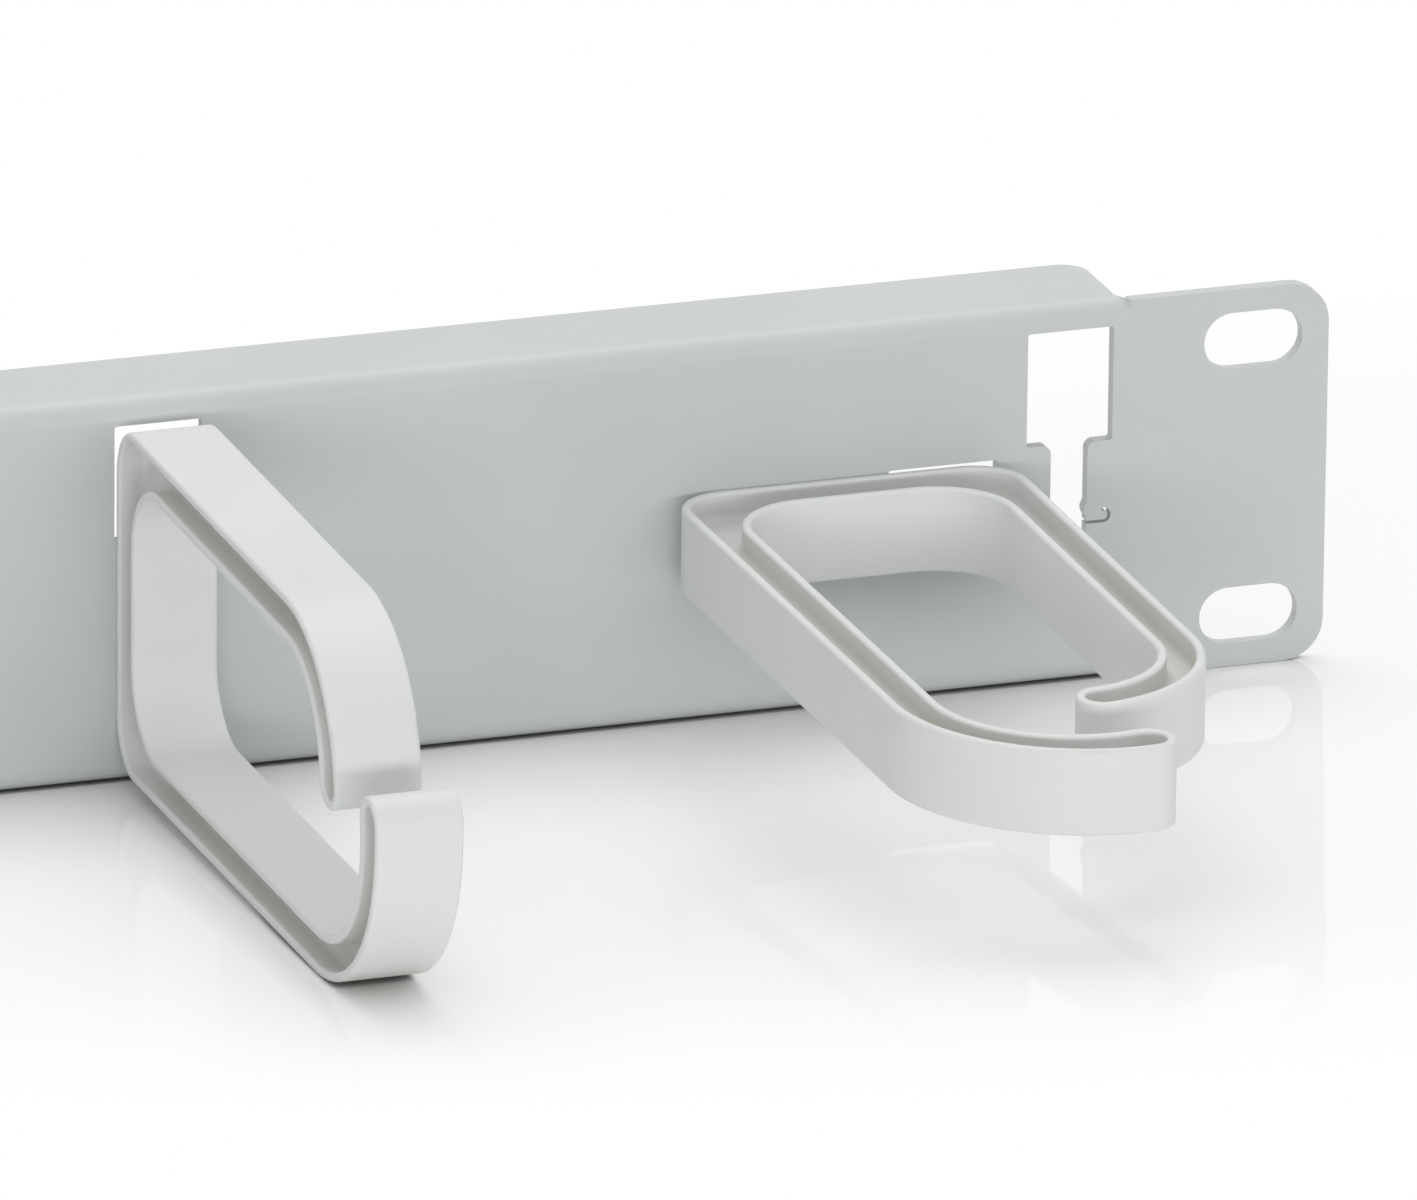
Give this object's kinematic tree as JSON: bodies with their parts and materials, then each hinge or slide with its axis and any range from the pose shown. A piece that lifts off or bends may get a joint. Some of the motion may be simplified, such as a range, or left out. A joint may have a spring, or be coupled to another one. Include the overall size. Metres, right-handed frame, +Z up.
{
  "type": "horizontal cable manager",
  "caption": "Slim rack-width steel panel with flanged edges and slotted ears, carrying open plastic rings on keyholes that guide patch cables along and down the rack.",
  "frame": {"origin": "centre of the four rack slots, on the rear face of the ears", "axes": "+X along the panel, +Y back into the rack, +Z up; the rings stand out towards -Y"},
  "size_m": [0.4826, 0.1045, 0.0436],
  "materials": {
    "panel_paint": "satin powder coat",
    "ring_plastic": "smooth moulded"
  },
  "bodies": {
    "panel_body": {"panel": "panel_paint"},
    "ring_centre_body": {"ring_centre": "ring_plastic"},
    "ring_left_body": {"ring_left": "ring_plastic"},
    "ring_right_body": {"ring_right": "ring_plastic"},
    "ring_left_end_body": {"ring_left_end": "ring_plastic"},
    "ring_right_end_body": {"ring_right_end": "ring_plastic"}
  },
  "joints": [
    {"name": "ring_centre_slide", "type": "slide", "parent": "panel_body", "child": "ring_centre_body", "axis": [0, 0, 1], "range_m": [0, 0.015]},
    {"name": "ring_left_slide", "type": "slide", "parent": "panel_body", "child": "ring_left_body", "axis": [0, 0, 1], "range_m": [0, 0.015]},
    {"name": "ring_right_slide", "type": "slide", "parent": "panel_body", "child": "ring_right_body", "axis": [0, 0, 1], "range_m": [0, 0.015]},
    {"name": "ring_left_end_slide", "type": "slide", "parent": "panel_body", "child": "ring_left_end_body", "axis": [-1, 0, 0], "range_m": [0, 0.0145]},
    {"name": "ring_right_end_slide", "type": "slide", "parent": "panel_body", "child": "ring_right_end_body", "axis": [1, 0, 0], "range_m": [0, 0.0145]}
  ]
}
